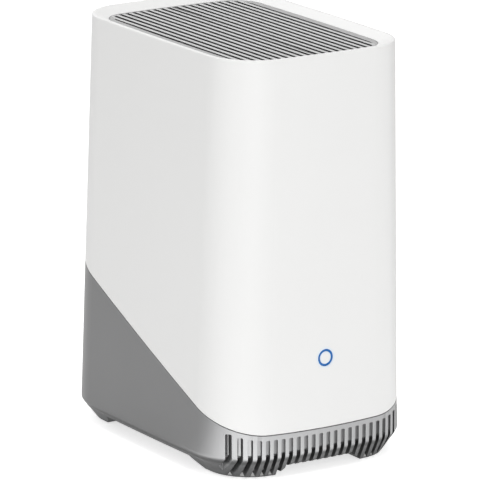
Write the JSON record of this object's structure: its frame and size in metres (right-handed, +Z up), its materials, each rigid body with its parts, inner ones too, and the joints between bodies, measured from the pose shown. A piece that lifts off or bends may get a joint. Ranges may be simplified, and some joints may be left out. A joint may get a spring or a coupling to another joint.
{
  "type": "security camera base station",
  "caption": "Upright base station for wireless security cameras: white tapered sleeve over a grooved grey foot, louvred top, light ring, rear sockets, slide-out drive.",
  "frame": {"origin": "under the middle of the body, on the surface it stands on", "axes": "+Z up; -Y towards the front with the light ring; +X to the right seen from the front"},
  "size_m": [0.11, 0.147, 0.1986],
  "materials": {
    "white_plastic": "satin",
    "grey_plastic": "satin",
    "grille_plastic": "satin",
    "clear_blue": "frosted light guide",
    "rubber": "matte",
    "board": "satin lacquer",
    "black_plastic": "satin",
    "cream_plastic": "satin",
    "chip": "matte",
    "thermal_pad": "matte",
    "steel": "zinc plated",
    "sheet_steel": "brushed",
    "aluminium": "anodised",
    "gold_contact": "gold plated",
    "copper_coil": "enamelled wire",
    "tinned_can": "tinned",
    "paper": "matte label",
    "cone_paper": "treated paper"
  },
  "bodies": {
    "base": {"outer_shell": "white_plastic", "chassis": "grey_plastic", "top_grille": "grille_plastic", "foot_pads": "rubber", "led_ring": "clear_blue", "ring_centre": "white_plastic", "led_board": "board", "leds": "cream_plastic", "led_board_screws": "steel", "inner_frame": "black_plastic", "frame_screws": "steel", "shell_screws": "steel", "fan_frame": "black_plastic", "fan_screws": "steel", "fan_stator": "copper_coil", "main_board": "board", "board_screws": "steel", "processor": "chip", "thermal_pad": "thermal_pad", "heat_sink": "aluminium", "heat_sink_pins": "black_plastic", "memory_chips": "chip", "radio_shields": "tinned_can", "capacitors": "tinned_can", "power_coils": "chip", "backup_cell": "tinned_can", "port_panel": "black_plastic", "port_board": "board", "port_board_screws": "steel", "board_header": "cream_plastic", "power_jack": "black_plastic", "power_jack_pin": "tinned_can", "network_jack": "tinned_can", "network_contacts": "gold_contact", "usb_jack": "tinned_can", "usb_tongue": "black_plastic", "button_board": "board", "sync_switch": "chip", "reset_switch": "chip", "speaker_bracket": "black_plastic", "speaker_frame": "black_plastic", "speaker_cone": "cone_paper", "speaker_magnet": "sheet_steel", "speaker_screws": "steel", "drive_bay": "sheet_steel", "drive_board": "board", "drive_connector": "black_plastic", "rating_label": "paper", "aerial_left": "board", "aerial_right": "board"},
    "drive_drawer": {"drive": "black_plastic", "drive_tray": "grey_plastic", "drive_cover": "grey_plastic"},
    "thumb_screw": {"thumb_screw": "steel"},
    "fan_rotor": {"fan_rotor": "black_plastic"},
    "sync_button": {"sync_button": "black_plastic"},
    "reset_button": {"reset_button": "black_plastic"}
  },
  "joints": [
    {"name": "drive_slide", "type": "slide", "parent": "base", "child": "drive_drawer", "axis": [0, 0, -1], "range_m": [0, 0.115]},
    {"name": "thumb_turn", "type": "hinge", "parent": "drive_drawer", "child": "thumb_screw", "pos_m": [0, -0.007, 0.005], "axis": [0, 0, 1], "range_deg": [0, 1080]},
    {"name": "fan_spin", "type": "hinge", "parent": "base", "child": "fan_rotor", "pos_m": [0, 0, 0.178], "axis": [0, 0, 1], "continuous": true},
    {"name": "sync_press", "type": "slide", "parent": "base", "child": "sync_button", "axis": [0, -1, 0], "range_m": [0, 0.0009], "stiffness_N_per_m": 600},
    {"name": "reset_press", "type": "slide", "parent": "base", "child": "reset_button", "axis": [0, -1, 0], "range_m": [0, 0.0005], "stiffness_N_per_m": 600}
  ]
}
